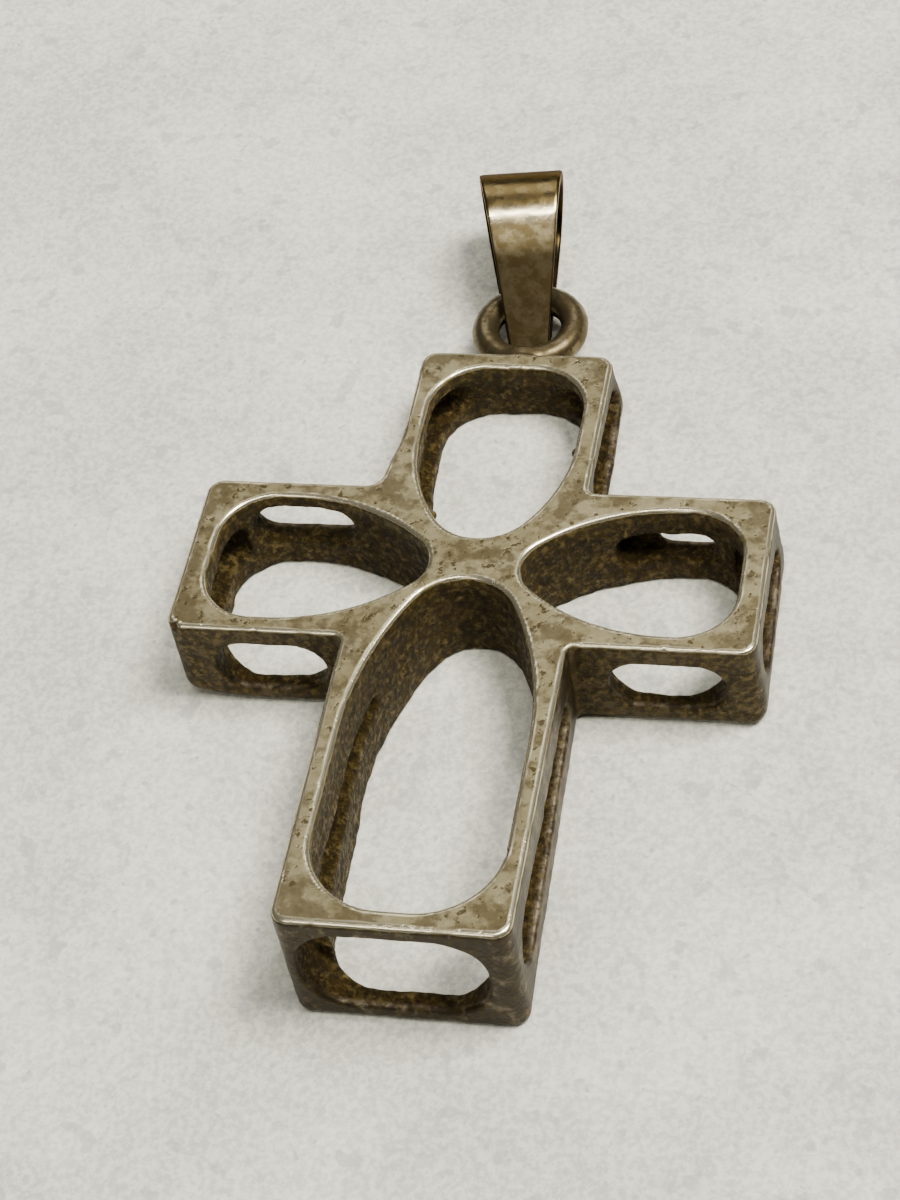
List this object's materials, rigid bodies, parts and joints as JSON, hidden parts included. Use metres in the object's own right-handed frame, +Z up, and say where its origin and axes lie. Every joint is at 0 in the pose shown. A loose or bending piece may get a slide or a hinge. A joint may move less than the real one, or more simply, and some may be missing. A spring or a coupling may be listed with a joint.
{
  "type": "openwork cross pendant",
  "caption": "Thick pierced cross pendant in worn silver, thinner towards the top, with a soldered jump ring and a loose tapered bail for a chain.",
  "frame": {"origin": "the middle of the pendant's box, on the ground it lies on", "axes": "+Y from the cross's bottom end towards the bail, +X to the right arm as seen from the front, +Z up, out of the front face"},
  "size_m": [0.028, 0.0474, 0.0072],
  "materials": {
    "cross_silver": "worn satin silver, bright on its edges and tarnished dark brown inside",
    "bail_silver": "polished silver strip under brown tarnish"
  },
  "bodies": {
    "root": {"cross_frame": "cross_silver", "bail": "bail_silver"}
  },
  "joints": []
}
